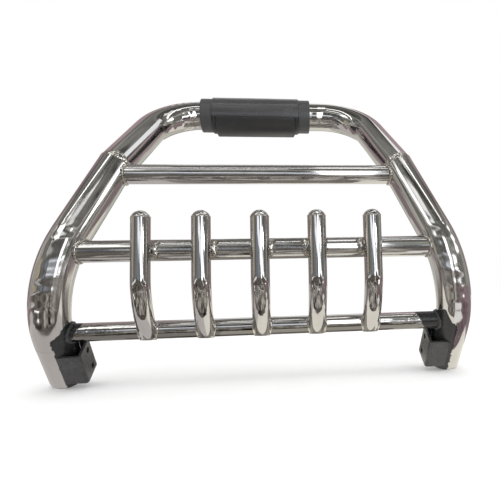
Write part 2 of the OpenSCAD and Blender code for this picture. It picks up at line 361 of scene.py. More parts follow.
def turned(bm, half_profile, begin, end, steps):
    """Closed solid spun round the bow from (radius, distance along X) and the same points at -X."""
    profile = [(r, -x) for r, x in half_profile] + half_profile[::-1]
    verts = [bm.verts.new((x, -r, 0)) for r, x in profile]
    edges = [bm.edges.new((verts[i - 1], verts[i])) for i in range(len(verts))]
    bmesh.ops.rotate(bm, cent=(0, 0, 0), matrix=Matrix.Rotation(SLEEVE_TURN + begin, 3, "X"), verts=verts)
    bmesh.ops.translate(bm, vec=bow_axis, verts=verts)
    bmesh.ops.spin(bm, geom=verts + edges, cent=bow_axis, axis=(1, 0, 0), dvec=(0, 0, 0), angle=end - begin,
                   steps=steps, use_merge=False, use_normal_flip=False, use_duplicate=False)
    close_up(bm)


print("sleeve axis:", [round(v, 4) for v in bow_axis])

# %% Half shell and pad
PAD_SINK, PAD_FOOT, PAD_SLOPE, PAD_ROUND, SHELL_CHAMFER = 0.004, 0.002, 0.004, 0.0012, 0.0025
PAD_BEGIN, PAD_END, PAD_STEPS, SHELL_STEPS = math.radians(2), math.radians(108), 40, 72
bm = bmesh.new()
turned(bm, [(SHELL_R - PAD_SINK, PAD_HALF + PAD_FOOT), (PAD_R, PAD_HALF - PAD_SLOPE)],
       PAD_BEGIN, PAD_END, PAD_STEPS)
corners = [e for e in bm.edges if e.calc_face_angle(0) > SHARP_ANGLE]
bmesh.ops.bevel(bm, geom=corners, offset=PAD_ROUND, offset_type="OFFSET", affect="EDGES", segments=3,
                profile=0.5, material=-1)
turned(bm, [(BORE_R, SPIGOT_HALF), (SPIGOT_R, SPIGOT_HALF), (SPIGOT_R, SHELL_HALF),
            (SHELL_R - SHELL_CHAMFER, SHELL_HALF), (SHELL_R, SHELL_HALF - SHELL_CHAMFER)],
       0.0, math.pi, SHELL_STEPS)
for edge in bm.edges:
    edge.smooth = edge.calc_face_angle(0) < SHARP_ANGLE
lower_half = make_object("sleeve_lower_with_pad", bm, smooth=True)
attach(lower_half, "root")
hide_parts("sleeve_lower")
print(lower_half.name, len(lower_half.data.polygons), "faces")

# %% [markdown]
# ## Polished stainless steel
# The tubes are welded stainless tube, buffed until they mirror the room. A mirror has almost no
# colour of its own, so what makes it look real is how the reflection bends. Hand buffing leaves
# the skin slightly wavy, the belt leaves faint lines along the tube, and fingers leave dull
# patches. All three are noise textures, read in Object coordinates so that their size is true in
# millimetres, and the shader stays one Principled BSDF that an exporter can bake.

# %% Polishing marks
MM = 0.001
WAVE_MM, SMUDGE_MM, LINE_MM, LINE_LEN_MM = 70, 45, 1.6, 120
WAVE_DEPTH_MM, LINE_DEPTH_MM, RIPPLE_DEPTH_MM = 0.12, 0.004, 1.0
CLEAN_ROUGH, SMUDGED_ROUGH = 0.045, 0.15
STEEL, STEEL_WARM = "#cfcecd", "#c3bfba"


def polished(tree, along, ripple=None, wave_depth_mm=WAVE_DEPTH_MM):
    """Place, colour, roughness and normal sockets of buffed tube, with belt lines along X or Z."""
    place = add(tree, "ShaderNodeTexCoord").outputs["Object"]
    waves = add(tree, "ShaderNodeTexNoise", {"Vector": place, "Scale": 1 / (WAVE_MM * MM), "Detail": 1.0})
    across, lengthwise = 1 / (LINE_MM * MM), 1 / (LINE_LEN_MM * MM)
    stretch = (lengthwise, across, across) if along == "X" else (across, across, lengthwise)
    drawn = add(tree, "ShaderNodeMapping", {"Vector": place, "Scale": stretch})
    lines = add(tree, "ShaderNodeTexNoise", {"Vector": drawn.outputs[0], "Scale": 1.0, "Detail": 2.0})
    normal = add(tree, "ShaderNodeBump", {"Height": waves.outputs[0], "Strength": 1.0,
                                          "Distance": wave_depth_mm * MM})
    normal = add(tree, "ShaderNodeBump", {"Height": lines.outputs[0], "Normal": normal.outputs[0],
                                          "Strength": 1.0, "Distance": LINE_DEPTH_MM * MM})
    if ripple:
        normal = add(tree, "ShaderNodeBump", {"Height": ripple(tree, place), "Normal": normal.outputs[0],
                                              "Strength": 1.0, "Distance": RIPPLE_DEPTH_MM * MM})
    smudge = add(tree, "ShaderNodeTexNoise", {"Vector": place, "Scale": 1 / (SMUDGE_MM * MM),
                                              "Detail": 5.0, "Roughness": 0.65})
    dull = add(tree, "ShaderNodeMapRange", {"Value": smudge.outputs[0], "From Min": 0.45, "From Max": 0.75,
                                            "To Min": CLEAN_ROUGH, "To Max": SMUDGED_ROUGH})
    tone = add(tree, "ShaderNodeMix", {"Factor": smudge.outputs[0], "A": linear(STEEL),
                                       "B": linear(STEEL_WARM)}, data_type="RGBA")
    return place, tone.outputs["Result"], dull.outputs[0], normal.outputs[0]


print("buffing waves", WAVE_MM, "mm, belt lines", LINE_MM, "mm, smudges", SMUDGE_MM, "mm")

# %% [markdown]
# Where a thick tube is bent, the inside of the bend gathers and the outside is dressed by hand,
# so the skin keeps shallow ripples across the tube. They are what breaks a lamp's reflection into
# a ladder of short bright bars on the legs' knees. A ripple is a sine along one axis, a dent is
# noise, and both fade in and out over the length of the bend. They could be modelled, but at half
# a millimetre deep they only show in reflections, which bump gives too.

# %% Ripples and dents
FADE_IN, FADE_OUT = 0.04, 0.05


def window(tree, value, low, high, depth_mm):
    """Depth inside a range of one coordinate, which fades out at both ends."""
    rise = add(tree, "ShaderNodeMapRange", {"Value": value, "From Min": low, "From Max": low + FADE_IN,
                                            "To Min": 0.0, "To Max": depth_mm},
               interpolation_type="SMOOTHSTEP")
    fall = add(tree, "ShaderNodeMapRange", {"Value": value, "From Min": high - FADE_OUT, "From Max": high,
                                            "To Min": 1.0, "To Max": 0.0}, interpolation_type="SMOOTHSTEP")
    both = add(tree, "ShaderNodeMath", {0: rise.outputs[0], 1: fall.outputs[0]}, operation="MULTIPLY")
    return both.outputs[0]


def ladder(tree, value, low, high, pitch, depth_mm):
    """Sine of one coordinate inside a window."""
    angle = add(tree, "ShaderNodeMath", {0: value, 1: 2 * math.pi / pitch}, operation="MULTIPLY")
    sine = add(tree, "ShaderNodeMath", {0: angle.outputs[0]}, operation="SINE")
    inside = window(tree, value, low, high, depth_mm)
    bars = add(tree, "ShaderNodeMath", {0: sine.outputs[0], 1: inside}, operation="MULTIPLY")
    return bars.outputs[0]


def crinkle(tree, place, low, high, size_mm, depth_mm):
    """Small dents between two heights, where the skin was squeezed most."""
    split = add(tree, "ShaderNodeSeparateXYZ", {"Vector": place})
    noisy = add(tree, "ShaderNodeTexNoise", {"Vector": place, "Scale": 1 / (size_mm * MM), "Detail": 1.0})
    inside = window(tree, split.outputs["Z"], low, high, depth_mm)
    dents = add(tree, "ShaderNodeMath", {0: noisy.outputs[0], 1: inside}, operation="MULTIPLY")
    return dents.outputs[0]


print("ripples fade in over", FADE_IN, "m and out over", FADE_OUT, "m")

# %% [markdown]
# The knee's ripples stay on the side that faces forwards, because the inside of the bend was
# pressed smooth by the bending shoe. A little sway from noise keeps the bars from lying dead
# level. The middle of the bend was dressed crosswise, which leaves it slightly rougher.

# %% The legs' knees
FRONT_FROM, FRONT_TO = -0.6, -0.9
KNEE_LOW, KNEE_HIGH, KNEE_PITCH, KNEE_DEPTH_MM = 0.125, 0.37, 0.034, 0.5
KNEE_SWAY_MM, KNEE_SWAY = 1000 / 9, 0.03
DENT_LOW, DENT_HIGH, DENT_MM, DENT_DEPTH_MM = 0.085, 0.2, 20, 0.3
DRESSED_Z, DRESSED_FULL, DRESSED_END, DRESSED_ROUGH = 0.245, 0.045, 0.11, 0.06


def on_front(tree, height):
    """A height kept on the side that faces -Y and faded out round the tube."""
    skin = add(tree, "ShaderNodeNewGeometry")
    facing = add(tree, "ShaderNodeSeparateXYZ", {"Vector": skin.outputs["Normal"]})
    front = add(tree, "ShaderNodeMapRange", {"Value": facing.outputs["Y"], "From Min": FRONT_FROM,
                                             "From Max": FRONT_TO, "To Min": 0.0, "To Max": 1.0},
                interpolation_type="SMOOTHSTEP")
    return add(tree, "ShaderNodeMath", {0: height, 1: front.outputs[0]}, operation="MULTIPLY").outputs[0]


def knee_ripple(tree, place):
    """Ladder over the whole bend and dents in its lower part."""
    split = add(tree, "ShaderNodeSeparateXYZ", {"Vector": place})
    sway = add(tree, "ShaderNodeTexNoise", {"Vector": place, "Scale": 1 / (KNEE_SWAY_MM * MM), "Detail": 0.0})
    bent = add(tree, "ShaderNodeMath", {0: sway.outputs[0], 1: KNEE_SWAY, 2: split.outputs["Z"]},
               operation="MULTIPLY_ADD")
    bars = ladder(tree, bent.outputs[0], KNEE_LOW, KNEE_HIGH, KNEE_PITCH, KNEE_DEPTH_MM)
    dents = crinkle(tree, place, DENT_LOW, DENT_HIGH, DENT_MM, DENT_DEPTH_MM)
    both = add(tree, "ShaderNodeMath", {0: bars, 1: dents}, operation="ADD")
    return on_front(tree, both.outputs[0])


def knee_softness(tree, place):
    """Extra roughness in the middle of the bend."""
    split = add(tree, "ShaderNodeSeparateXYZ", {"Vector": place})
    level = add(tree, "ShaderNodeMath", {0: split.outputs["Z"], 1: DRESSED_Z}, operation="SUBTRACT")
    away = add(tree, "ShaderNodeMath", {0: level.outputs[0]}, operation="ABSOLUTE")
    soft = add(tree, "ShaderNodeMapRange", {"Value": away.outputs[0], "From Min": DRESSED_FULL,
                                            "From Max": DRESSED_END, "To Min": DRESSED_ROUGH, "To Max": 0.0})
    return soft.outputs[0]


print("knee ripples:", round((KNEE_HIGH - KNEE_LOW) / KNEE_PITCH), "bars")

# %% [markdown]
# The bow's left bend has fine ripples and its right bend long, shallow ones. The teeth are dented
# where they curve, and their domes were buffed by hand, which left small flats all over.

# %% The bow's bends, the teeth and their domes
BOW_SWAY_MM, BOW_SWAY = 80, 0.02
LEFT_BEND = dict(low=-0.265, high=-0.115, pitch=0.02, depth_mm=0.2)
RIGHT_BEND = dict(low=0.135, high=0.285, pitch=0.05, depth_mm=0.3)
TOOTH_DENTS = dict(low=bend_z - 0.115, high=bend_z + 0.01, size_mm=11, depth_mm=0.45)
DOME_FLAT_MM = 7


def bow_ripple(tree, place):
    split = add(tree, "ShaderNodeSeparateXYZ", {"Vector": place})
    sway = add(tree, "ShaderNodeTexNoise", {"Vector": place, "Scale": 1 / (BOW_SWAY_MM * MM), "Detail": 0.0})
    bent = add(tree, "ShaderNodeMath", {0: sway.outputs[0], 1: BOW_SWAY, 2: split.outputs["X"]},
               operation="MULTIPLY_ADD")
    left = ladder(tree, bent.outputs[0], **LEFT_BEND)
    right = ladder(tree, bent.outputs[0], **RIGHT_BEND)
    return add(tree, "ShaderNodeMath", {0: left, 1: right}, operation="ADD").outputs[0]


def tooth_dents(tree, place):
    return crinkle(tree, place, **TOOTH_DENTS)


def dome_flats(tree, place):
    flats = add(tree, "ShaderNodeTexNoise", {"Vector": place, "Scale": 1 / (DOME_FLAT_MM * MM),
                                             "Detail": 1.0})
    return flats.outputs[0]


steels = {}
for key, name, along, ripple, wave_depth_mm in (
        ("top_bow", "stainless_steel_bow_buffed", "X", bow_ripple, 0.15),
        ("tooth", "stainless_steel_tooth_buffed", "Z", tooth_dents, 0.1),
        ("dome", "stainless_steel_dome_hand_buffed", "X", dome_flats, 0.1)):
    steels[key], tree = start_material(name)
    _, tone, dull, normal = polished(tree, along, ripple, wave_depth_mm)
    shader = add(tree, "ShaderNodeBsdfPrincipled", {"Base Color": tone, "Roughness": dull, "Normal": normal,
                                                    "Metallic": 1.0})
    add(tree, "ShaderNodeOutputMaterial", {"Surface": shader.outputs[0]})
    print(key, "is", name)

# %% [markdown]
# The upper and middle crossbars were polished lengthwise on a long belt, and its fine scratches
# all run along the bar. Such a brushed mirror stays sharp along the bar and smears light round
# it, which the shader calls anisotropy. The Tangent node gives it the direction round the X axis.

# %% The crossbars' steel
BELT_ROUGH, BELT_SMEAR, BELT_WAVE_DEPTH_MM = 0.12, 0.75, 0.1
steels["crossbar"], tree = start_material("stainless_steel_crossbar_belt_polished")
_, tone, _, normal = polished(tree, "X", wave_depth_mm=BELT_WAVE_DEPTH_MM)
around = add(tree, "ShaderNodeTangent", direction_type="RADIAL", axis="X")
shader = add(tree, "ShaderNodeBsdfPrincipled", {"Base Color": tone, "Roughness": BELT_ROUGH, "Normal": normal,
                                                "Metallic": 1.0, "Anisotropic": BELT_SMEAR,
                                                "Tangent": around.outputs[0]})
add(tree, "ShaderNodeOutputMaterial", {"Surface": shader.outputs[0]})
print("crossbar steel:", steels["crossbar"].name)

# %% [markdown]
# ## Black paint on the lower ends
# Before the guard is boxed, the brackets and the raw steel round them are sprayed semi-gloss
# black. The spray is masked along the leg's front, so the paint has a fairly straight edge with a
# few chips. One material holds both: a mask picks paint or steel for the colour, the metallic
# value and the roughness. The mask works out how far a point lies inside the painted side, adds a
# little noise and cuts it off sharply.

# %% The spray and its edge
# The plates' tones are the tubes' black paint set paler, which is painted light on their flat faces.
TUBE_PAINT, PLATE_PAINT_PAINTED_LIGHT = ("#1c1c1d", "#2a2a2b"), ("#333334", "#3f3f40")
PEEL_MM, SCUFF_MM, CHIP_MM = 2.5, 20, 9
FRESH_ROUGH, SCUFFED_ROUGH = 0.16, 0.36
EDGE_SWAY, EDGE_FROM, EDGE_TO = 0.014, 0.0066, 0.0074


def sprayed(tree, place, tones):
    """Colour, roughness and height sockets of sprayed paint with orange peel and scuffs."""
    peel = add(tree, "ShaderNodeTexNoise", {"Vector": place, "Scale": 1 / (PEEL_MM * MM), "Detail": 2.0})
    scuff = add(tree, "ShaderNodeTexNoise", {"Vector": place, "Scale": 1 / (SCUFF_MM * MM), "Detail": 8.0,
                                             "Roughness": 0.7})
    worn = add(tree, "ShaderNodeMapRange", {"Value": scuff.outputs[0], "From Min": 0.45, "From Max": 0.75})
    tone = add(tree, "ShaderNodeMix", {"Factor": worn.outputs[0], "A": linear(tones[0]),
                                       "B": linear(tones[1])}, data_type="RGBA")
    dull = add(tree, "ShaderNodeMapRange", {"Value": scuff.outputs[0], "From Min": 0.3, "From Max": 0.7,
                                            "To Min": FRESH_ROUGH, "To Max": SCUFFED_ROUGH})
    return tone.outputs["Result"], dull.outputs[0], peel.outputs[0]


def overspray(tree, place, inside):
    """Mask, 1 on paint, from a socket with the distance inside the sprayed side in metres."""
    ragged = add(tree, "ShaderNodeTexNoise", {"Vector": place, "Scale": 1 / (CHIP_MM * MM), "Detail": 4.0,
                                              "Roughness": 0.6})
    edge = add(tree, "ShaderNodeMath", {0: ragged.outputs[0], 1: EDGE_SWAY, 2: inside},
               operation="MULTIPLY_ADD")
    cut = add(tree, "ShaderNodeMapRange", {"Value": edge.outputs[0], "From Min": EDGE_FROM,
                                           "From Max": EDGE_TO})
    return cut.outputs[0]


print("paint edge:", round((EDGE_TO - EDGE_FROM) * 1000, 1), "mm soft, chips", CHIP_MM, "mm")

# %% [markdown]
# A tube that is part steel and part paint needs both finishes in one shader. The legs and the
# lower crossbar share it: each brings its own painted side, its own dents and, where it has them,
# a softer zone or a darker underside. The paint stands a little proud of the steel, so its edge
# catches the light. The buffing wheel ran round these tubes, so their shader smears light lengthwise.

# %% Steel and paint in one material
PAINT_DEPTH_MM, PEEL_SHARE, BUFF_SMEAR = 0.08, 0.3, 0.9


def part_painted(name, along, inside_of, ripple, soft_of=None, recolour_of=None):
    """Buffed tube along X or Z, painted where inside_of gives a distance above zero."""
    material, tree = start_material(name)
    place, tone, dull, normal = polished(tree, along, ripple)
    if recolour_of:
        tone = recolour_of(tree, place, tone)
    if soft_of:
        dull = add(tree, "ShaderNodeMath", {0: dull, 1: soft_of(tree, place)}, operation="ADD").outputs[0]
    black, matt, peel = sprayed(tree, place, TUBE_PAINT)
    mask = overspray(tree, place, inside_of(tree, place))
    colour = add(tree, "ShaderNodeMix", {"Factor": mask, "A": tone, "B": black}, data_type="RGBA")
    rough = add(tree, "ShaderNodeMix", {"Factor": mask, "A": dull, "B": matt}, data_type="FLOAT")
    metal = add(tree, "ShaderNodeMath", {0: 1.0, 1: mask}, operation="SUBTRACT")
    film = add(tree, "ShaderNodeMath", {0: peel, 1: mask}, operation="MULTIPLY")
    thick = add(tree, "ShaderNodeMath", {0: film.outputs[0], 1: PEEL_SHARE, 2: mask},
                operation="MULTIPLY_ADD")
    normal = add(tree, "ShaderNodeBump", {"Height": thick.outputs[0], "Normal": normal, "Strength": 1.0,
                                          "Distance": PAINT_DEPTH_MM * MM})
    lengthwise = add(tree, "ShaderNodeCombineXYZ", {along: 1.0})
    shader = add(tree, "ShaderNodeBsdfPrincipled", {
        "Base Color": colour.outputs["Result"], "Roughness": rough.outputs[0], "Metallic": metal.outputs[0],
        "Normal": normal.outputs[0], "Anisotropic": BUFF_SMEAR, "Tangent": lengthwise.outputs[0]})
    add(tree, "ShaderNodeOutputMaterial", {"Surface": shader.outputs[0]})
    return material


print("paint is", PAINT_DEPTH_MM, "mm thick")

# %% [markdown]
# The paint covers the inner side of each leg's lower end. Its upright border stands at a set
# distance from the middle of the guard, and its top edge sweeps up towards the inside, as the arc
# of a spray gun does.

# %% Legs, painted on the inner side of their lower ends
PAINT_TOP, PAINT_SWEEP, SWEEP_CAP = 0.108, 45.0, 0.0008
PAINT_BORDERS = (("left", 0.412), ("right", 0.421))


def leg_paint(border):
    """Function that gives the distance inside one leg's painted side."""
    def inside_of(tree, place):
        split = add(tree, "ShaderNodeSeparateXYZ", {"Vector": place})
        out = add(tree, "ShaderNodeMath", {0: split.outputs["X"]}, operation="ABSOLUTE")
        inward = add(tree, "ShaderNodeMath", {0: border, 1: out.outputs[0]}, operation="SUBTRACT")
        rise = add(tree, "ShaderNodeMath", {0: inward.outputs[0], 1: 0.0}, operation="MAXIMUM")
        curve = add(tree, "ShaderNodeMath", {0: rise.outputs[0], 1: 2.0}, operation="POWER")
        lift = add(tree, "ShaderNodeMath", {0: curve.outputs[0], 1: SWEEP_CAP}, operation="MINIMUM")
        top = add(tree, "ShaderNodeMath", {0: lift.outputs[0], 1: PAINT_SWEEP, 2: PAINT_TOP},
                  operation="MULTIPLY_ADD")
        below = add(tree, "ShaderNodeMath", {0: top.outputs[0], 1: split.outputs["Z"]}, operation="SUBTRACT")
        least = add(tree, "ShaderNodeMath", {0: inward.outputs[0], 1: below.outputs[0]}, operation="MINIMUM")
        return least.outputs[0]
    return inside_of


for word, border in PAINT_BORDERS:
    name = f"stainless_steel_{word}_leg_buffed_and_sprayed"
    steels[word + "_leg"] = part_painted(name, "Z", leg_paint(border), knee_ripple, knee_softness)
    print("painted leg:", name)

# %% [markdown]
# The lower crossbar is painted at both ends, with an edge that slants, since the gun pointed
# down. Welding pulled its skin into crinkles near the ends, and the steel's colour is made darker
# over its underside.

# %% Lower crossbar, painted at both ends
BAR_OFFSET, BAR_PAINT_REACH, BAR_PAINT_SLANT = 0.014, 0.358, 0.6
PULL_FROM, PULL_TO, PULL_MM, PULL_DEPTH_MM = 0.265, 0.325, 13, 0.9
# The underside grey is mixed into the steel's colour below the bar's axis, so the bar is darker there.
UNDERSIDE_GREY, UNDERSIDE_CLOUD_MM, UNDERSIDE_SWAY, UNDERSIDE_FULL, UNDERSIDE_END, UNDERSIDE_SHARE = "#67645f", 12, 0.016, 0.002, 0.008, 0.75


def bar_end_paint(tree, place):
    """Distance inside the painted ends, measured from a middle that lies BAR_OFFSET to the left."""
    split = add(tree, "ShaderNodeSeparateXYZ", {"Vector": place})
    centred = add(tree, "ShaderNodeMath", {0: split.outputs["X"], 1: BAR_OFFSET}, operation="ADD")
    out = add(tree, "ShaderNodeMath", {0: centred.outputs[0]}, operation="ABSOLUTE")
    border = BAR_PAINT_REACH + BAR_PAINT_SLANT * low_axis.z
    past = add(tree, "ShaderNodeMath", {0: out.outputs[0], 1: border}, operation="SUBTRACT")
    slanted = add(tree, "ShaderNodeMath", {0: split.outputs["Z"], 1: BAR_PAINT_SLANT, 2: past.outputs[0]},
                  operation="MULTIPLY_ADD")
    return slanted.outputs[0]


def end_crinkles(tree, place):
    """Crinkles that deepen towards the bar's ends."""
    split = add(tree, "ShaderNodeSeparateXYZ", {"Vector": place})
    out = add(tree, "ShaderNodeMath", {0: split.outputs["X"]}, operation="ABSOLUTE")
    near = add(tree, "ShaderNodeMapRange", {"Value": out.outputs[0], "From Min": PULL_FROM,
                                            "From Max": PULL_TO, "To Min": 0.0, "To Max": PULL_DEPTH_MM})
    dents = add(tree, "ShaderNodeTexNoise", {"Vector": place, "Scale": 1 / (PULL_MM * MM), "Detail": 2.0})
    pulled = add(tree, "ShaderNodeMath", {0: near.outputs[0], 1: dents.outputs[0]}, operation="MULTIPLY")
    return pulled.outputs[0]


def darker_underside(tree, place, tone):
    """The steel's colour, darker over its lower half."""
    split = add(tree, "ShaderNodeSeparateXYZ", {"Vector": place})
    cloud = add(tree, "ShaderNodeTexNoise", {"Vector": place, "Scale": 1 / (UNDERSIDE_CLOUD_MM * MM), "Detail": 4.0,
                                             "Roughness": 0.7})
    level = add(tree, "ShaderNodeMath", {0: cloud.outputs[0], 1: UNDERSIDE_SWAY, 2: split.outputs["Z"]},
                operation="MULTIPLY_ADD")
    under = add(tree, "ShaderNodeMapRange", {"Value": level.outputs[0], "From Min": low_axis.z + UNDERSIDE_FULL,
                                             "From Max": low_axis.z + UNDERSIDE_END, "To Min": UNDERSIDE_SHARE,
                                             "To Max": 0.0})
    darkened = add(tree, "ShaderNodeMix", {"Factor": under.outputs[0], "A": tone, "B": linear(UNDERSIDE_GREY)},
                data_type="RGBA")
    return darkened.outputs["Result"]


steels["lower_crossbar"] = part_painted("stainless_steel_lower_bar_buffed_and_sprayed", "X", bar_end_paint,
                                        end_crinkles, recolour_of=darker_underside)
print("painted bar:", steels["lower_crossbar"].name)

# %% [markdown]
# The brackets are folded plate and take the same paint all over. Plate shows the orange peel of a
# spray gun more plainly than tube does, because its faces are flat. Its colour is set paler than
# the tubes' paint, which is painted light for its flat faces lit from above.

# %% Brackets and end discs
PLATE_PEEL_DEPTH_MM = 0.025
paint, tree = start_material("mild_steel_sprayed_black_painted_light")
place = add(tree, "ShaderNodeTexCoord").outputs["Object"]
black, matt, peel = sprayed(tree, place, PLATE_PAINT_PAINTED_LIGHT)
normal = add(tree, "ShaderNodeBump", {"Height": peel, "Strength": 1.0, "Distance": PLATE_PEEL_DEPTH_MM * MM})
shader = add(tree, "ShaderNodeBsdfPrincipled", {"Base Color": black, "Roughness": matt,
                                                "Normal": normal.outputs[0]})
add(tree, "ShaderNodeOutputMaterial", {"Surface": shader.outputs[0]})
print("bracket paint:", paint.name)

# %% [markdown]
# ## Moulded sleeve
# The sleeve is injection-moulded ABS with a fine spark-eroded grain, which scatters light into a
# broad satin sheen. Its halves come from two moulds: the upper one is glossier, and the collars are
# the dullest. The upper half's colour is set paler and the lower half's darker, which is painted
# light and shade: the top lit from above, the underside in shade. The real grain is about 0.3 mm,
# too fine for this picture, so it is drawn at 1.2 mm.

# %% The sleeve's plastic
GRAIN_MM, GRAIN_DEPTH_MM, FLOW_MM, ABS_IOR = 1.2, 0.05, 60, 1.6
GLOSSIER, DULLER = 0.05, 0.08
plastics = {}
# The upper half's paler tones are painted light and the lower half's darker tones are painted shade.
for key, name, pale, deep, rough in (("upper", "abs_sleeve_upper_moulded", "#434344", "#3b3b3c", 0.22),
                                     ("lower", "abs_sleeve_lower_moulded", "#272728", "#202021", 0.38),
                                     ("collar", "abs_collar_moulded", "#404041", "#39393a", 0.45)):
    plastics[key], tree = start_material(name)
    place = add(tree, "ShaderNodeTexCoord").outputs["Object"]
    grain = add(tree, "ShaderNodeTexVoronoi", {"Vector": place, "Scale": 1 / (GRAIN_MM * MM)},
                feature="SMOOTH_F1")
    flow = add(tree, "ShaderNodeTexNoise", {"Vector": place, "Scale": 1 / (FLOW_MM * MM), "Detail": 4.0})
    tone = add(tree, "ShaderNodeMix", {"Factor": flow.outputs[0], "A": linear(deep), "B": linear(pale)},
               data_type="RGBA")
    dull = add(tree, "ShaderNodeMapRange", {"Value": flow.outputs[0], "From Min": 0.3, "From Max": 0.7,
                                            "To Min": rough - GLOSSIER, "To Max": rough + DULLER})
    normal = add(tree, "ShaderNodeBump", {"Height": grain.outputs[0], "Strength": 0.5,
                                          "Distance": GRAIN_DEPTH_MM * MM})
    shader = add(tree, "ShaderNodeBsdfPrincipled", {
        "Base Color": tone.outputs["Result"], "Roughness": dull.outputs[0], "Normal": normal.outputs[0],
        "IOR": ABS_IOR})
    add(tree, "ShaderNodeOutputMaterial", {"Surface": shader.outputs[0]})
    print(key, "plastic:", name)

# %% [markdown]
# ## Weld metal
# The beads were brushed rather than buffed. They shine like the tube, but small dents break up
# what they mirror, and the heat left a straw tint. One noise drives the tint, the shine and the
# dents, since all three come from the same pass of the torch.

# %% Bead material
WELD_BRIGHT, WELD_STRAW = "#d6d5d2", "#bdb5a6"
BRUSH_MM, BRUSH_DEPTH_MM, BRUSHED_ROUGH = 8, 1.6, (0.04, 0.16)
weld, tree = start_material("stainless_steel_weld_brushed")
place = add(tree, "ShaderNodeTexCoord").outputs["Object"]
heat = add(tree, "ShaderNodeTexNoise", {"Vector": place, "Scale": 1 / (BRUSH_MM * MM), "Detail": 2.0})
tone = add(tree, "ShaderNodeMix", {"Factor": heat.outputs[0], "A": linear(WELD_BRIGHT),
                                   "B": linear(WELD_STRAW)}, data_type="RGBA")
dull = add(tree, "ShaderNodeMapRange", {"Value": heat.outputs[0], "To Min": BRUSHED_ROUGH[0],
                                        "To Max": BRUSHED_ROUGH[1]})
normal = add(tree, "ShaderNodeBump", {"Height": heat.outputs[0], "Strength": 1.0,
                                      "Distance": BRUSH_DEPTH_MM * MM})
shader = add(tree, "ShaderNodeBsdfPrincipled", {
    "Base Color": tone.outputs["Result"], "Roughness": dull.outputs[0], "Normal": normal.outputs[0],
    "Metallic": 1.0})
add(tree, "ShaderNodeOutputMaterial", {"Surface": shader.outputs[0]})
print("weld metal:", weld.name)

# %% [markdown]
# ## Finishes on the pieces
# A CAD node gets the first finish whose word is in its name, so the longer words come first. The
# beads at the lower crossbar's ends lie under the paint, and all other beads are bare.

# %% Give every piece its finish
FINISHES = (("collar", plastics["collar"]), ("sleeve_upper", plastics["upper"]),
            ("sleeve_lower", plastics["lower"]), ("bracket", paint), ("disc", paint),
            ("dome", steels["dome"]), ("tooth", steels["tooth"]),
            ("lower_crossbar", steels["lower_crossbar"]), ("crossbar", steels["crossbar"]),
            ("left_leg", steels["left_leg"]), ("right_leg", steels["right_leg"]),
            ("top_bow", steels["top_bow"]))
for name, obj in nodes.items():
    obj.data.materials.clear()
    obj.data.materials.append(next(material for word, material in FINISHES if word in name))
for piece in beads:
    piece.data.materials.append(paint if piece.name == "weld_lower_crossbar" else weld)
lower_half.data.materials.append(plastics["lower"])
print("finished", len(nodes), "nodes,", len(beads), "sets of beads and", lower_half.name)

# %% [markdown]
# ## Studio
# A mirror shows its surroundings, so a polished guard is lit by what stands round it. The floor
# and the world are white and give the soft light. Cards in grey, mauve and white stand round the
# guard, seen only by reflections, and the openings between them let the white backdrop shine
# along the tubes' edges. A picture of a room would light it too, but flat cards are easy to move
# until each band lies where the photograph has it.

# %% White floor and backdrop
FLOOR_SIZE = 14
ACROSS_X = Matrix(((0, 0, 1), (1, 0, 0), (0, 1, 0)))
ACROSS_Y = Matrix(((1, 0, 0), (0, 0, -1), (0, 1, 0)))
world = bpy.data.worlds.new("white_backdrop")
scene.world = world
world.use_nodes = True
backdrop = world.node_tree.nodes["Background"]
backdrop.inputs["Color"].default_value = (1, 1, 1, 1)
backdrop.inputs["Strength"].default_value = 1.0


def stage_plane(name, centre, size, facing, material, tilt=0.0):
    """Flat sheet with its width and height in metres; facing is the axis that it stands across."""
    bm = bmesh.new()
    bmesh.ops.create_grid(bm, x_segments=1, y_segments=1, size=0.5)
    bmesh.ops.scale(bm, vec=(size[0], size[1], 1), verts=bm.verts)
    turns = [Matrix.Rotation(math.radians(tilt), 3, "Z")]
    turns += {"X": [ACROSS_X], "Y": [ACROSS_Y], "Z": []}[facing]
    for turn in turns:
        bmesh.ops.rotate(bm, cent=(0, 0, 0), matrix=turn, verts=bm.verts)
    bmesh.ops.translate(bm, vec=centre, verts=bm.verts)
    obj = make_object(name, bm, smooth=False)
    obj.data.materials.append(material)
    return obj


white, tree = start_material("paper_floor_white")
shader = add(tree, "ShaderNodeBsdfDiffuse", {"Color": linear("#ffffff")})
add(tree, "ShaderNodeOutputMaterial", {"Surface": shader.outputs[0]})
stage_plane("floor", (0, 0, 0), (FLOOR_SIZE, FLOOR_SIZE), "Z", white)
print("floor:", FLOOR_SIZE, "m square")

# %% [markdown]
# A card glows in clouds between two tones, so that a mirrored wall is never one flat grey. Drawn
# out along an axis, the clouds become the streaks that doors, shelves and lamps of a real room
# leave on a tube.

# %% Cards that only reflections see
TALL, WIDE, DEEP = (1, 1, 7), (7, 1, 1), (1, 2, 1)
WHITE = "#ffffff"


